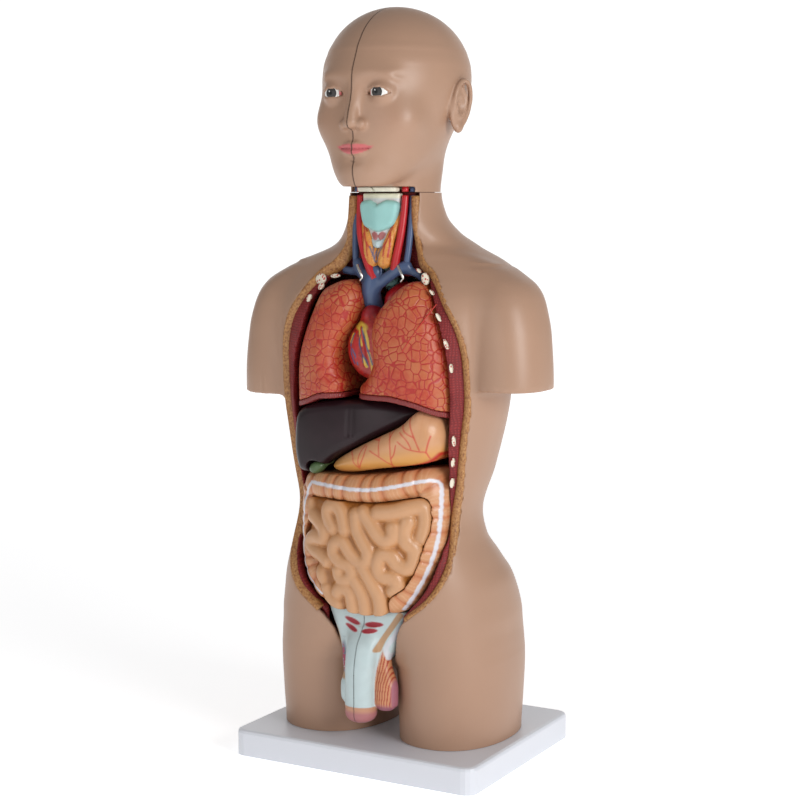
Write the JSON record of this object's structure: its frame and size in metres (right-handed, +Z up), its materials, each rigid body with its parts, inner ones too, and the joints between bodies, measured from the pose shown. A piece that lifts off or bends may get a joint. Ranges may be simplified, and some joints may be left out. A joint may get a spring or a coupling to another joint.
{
  "type": "torso anatomy model",
  "caption": "Free-standing take-apart human torso teaching model: head in two halves, open body cavity with removable organs, on a flat base.",
  "frame": {"origin": "centre of the underside of the base", "axes": "+Z up, -Y towards the front of the torso, +X towards the model's left side"},
  "size_m": [0.3791, 0.257, 0.8498],
  "materials": {
    "skin": "satin tan vinyl",
    "base_white": "satin white moulded plastic",
    "base_underside": "matte off-white sheet",
    "steel": "plated steel",
    "muscle": "dark maroon paint with a fine fibre grid",
    "bone": "cream paint",
    "median_section": "painted section",
    "brain": "painted vinyl",
    "cartilage": "pale cyan paint",
    "thyroid": "orange-yellow paint with red vessels",
    "artery": "red gloss paint",
    "vein": "blue gloss paint",
    "lung": "salmon-orange paint with a dark red cell network",
    "diaphragm": "crimson striated paint",
    "heart": "red paint with yellow fat and vessels",
    "liver": "glossy dark brown",
    "gallbladder": "green gloss paint",
    "stomach": "peach paint with red branching vessels",
    "spleen": "purple-grey paint",
    "pancreas": "ochre paint",
    "colon": "orange-tan paint",
    "small_intestine": "peach-yellow paint",
    "kidney": "brown-red paint",
    "pelvic_insert": "ice-blue paint",
    "bladder": "painted vinyl"
  },
  "bodies": {
    "root": {"base_top": "base_white", "base_underplate": "base_underside", "trunk_shell": "skin", "neck_plate": "skin", "thigh_plate_left": "base_white", "thigh_plate_right": "base_white", "thigh_bolt_left": "steel", "thigh_bolt_right": "steel", "head_peg": "steel", "lung_hook_left": "steel", "lung_hook_right": "steel", "body_wall_liner": "muscle", "larynx": "cartilage", "trachea": "cartilage", "thyroid_lobe_left": "thyroid", "thyroid_lobe_right": "thyroid", "carotid_artery_left": "artery", "carotid_artery_right": "artery", "aortic_arch": "artery", "descending_aorta": "artery", "jugular_vein_left": "vein", "jugular_vein_right": "vein", "brachiocephalic_veins": "vein", "inferior_vena_cava": "vein", "kidney_left": "kidney", "kidney_right_back": "kidney", "vertebral_column": "bone", "underplate_screw_1": "steel", "underplate_screw_2": "steel", "underplate_screw_3": "steel", "underplate_screw_4": "steel"},
    "head_left": {"head_left_half": "skin", "hyoid_plate": "bone", "median_section": "median_section", "head_pin_1": "steel", "head_pin_2": "steel"},
    "brain": {"brain_half": "brain"},
    "head_right": {"head_right_half": "skin"},
    "heart_back": {"heart_back": "heart"},
    "heart_front": {"heart_front": "heart"},
    "lung_left_back": {"lung_left_back": "lung"},
    "lung_left_front": {"lung_left_front": "lung", "diaphragm_left": "diaphragm"},
    "lung_right_back": {"lung_right_back": "lung"},
    "lung_right_front": {"lung_right_front": "lung", "diaphragm_right": "diaphragm"},
    "liver": {"liver": "liver", "gallbladder": "gallbladder"},
    "spleen_pancreas": {"spleen": "spleen", "pancreas": "pancreas"},
    "stomach_back": {"stomach_back": "stomach"},
    "stomach_front": {"stomach_front": "stomach"},
    "kidney_front": {"kidney_right_front": "kidney"},
    "intestine": {"colon_frame": "colon", "small_intestine": "small_intestine"},
    "pelvic_left": {"pelvic_insert_left": "pelvic_insert", "bladder_half_left": "bladder"},
    "pelvic_right": {"pelvic_insert_right": "pelvic_insert", "bladder_half_right": "bladder"}
  },
  "joints": [
    {"name": "head_lift", "type": "slide", "parent": "root", "child": "head_left", "axis": [0, 0, 1], "range_m": [0, 0.1]},
    {"name": "brain_out", "type": "slide", "parent": "head_left", "child": "brain", "axis": [-1, 0, 0], "range_m": [0, 0.11]},
    {"name": "head_open", "type": "slide", "parent": "brain", "child": "head_right", "axis": [-1, 0, 0], "range_m": [0, 0.12]},
    {"name": "heart_back_out", "type": "slide", "parent": "root", "child": "heart_back", "axis": [0, -1, 0], "range_m": [0, 0.15]},
    {"name": "heart_front_off", "type": "slide", "parent": "heart_back", "child": "heart_front", "axis": [0, -1, 0], "range_m": [0, 0.06]},
    {"name": "lung_left_out", "type": "slide", "parent": "heart_front", "child": "lung_left_back", "axis": [0, -1, 0], "range_m": [0, 0.17]},
    {"name": "lung_left_front_off", "type": "slide", "parent": "lung_left_back", "child": "lung_left_front", "axis": [0, -1, 0], "range_m": [0, 0.08]},
    {"name": "lung_right_out", "type": "slide", "parent": "root", "child": "lung_right_back", "axis": [0, -1, 0], "range_m": [0, 0.17]},
    {"name": "lung_right_front_off", "type": "slide", "parent": "lung_right_back", "child": "lung_right_front", "axis": [0, -1, 0], "range_m": [0, 0.08]},
    {"name": "liver_out", "type": "slide", "parent": "root", "child": "liver", "axis": [0, -1, 0], "range_m": [0, 0.14]},
    {"name": "spleen_pancreas_out", "type": "slide", "parent": "root", "child": "spleen_pancreas", "axis": [0, -1, 0], "range_m": [0, 0.14]},
    {"name": "stomach_out", "type": "slide", "parent": "spleen_pancreas", "child": "stomach_back", "axis": [0, -1, 0], "range_m": [0, 0.12]},
    {"name": "stomach_front_off", "type": "slide", "parent": "stomach_back", "child": "stomach_front", "axis": [0, -1, 0], "range_m": [0, 0.07]},
    {"name": "kidney_front_off", "type": "slide", "parent": "root", "child": "kidney_front", "axis": [0, -1, 0], "range_m": [0, 0.03]},
    {"name": "intestine_out", "type": "slide", "parent": "kidney_front", "child": "intestine", "axis": [0, -1, 0], "range_m": [0, 0.15]},
    {"name": "pelvic_left_out", "type": "slide", "parent": "root", "child": "pelvic_left", "axis": [0, -1, 0], "range_m": [0, 0.12]},
    {"name": "pelvic_right_out", "type": "slide", "parent": "root", "child": "pelvic_right", "axis": [0, -1, 0], "range_m": [0, 0.12]}
  ]
}
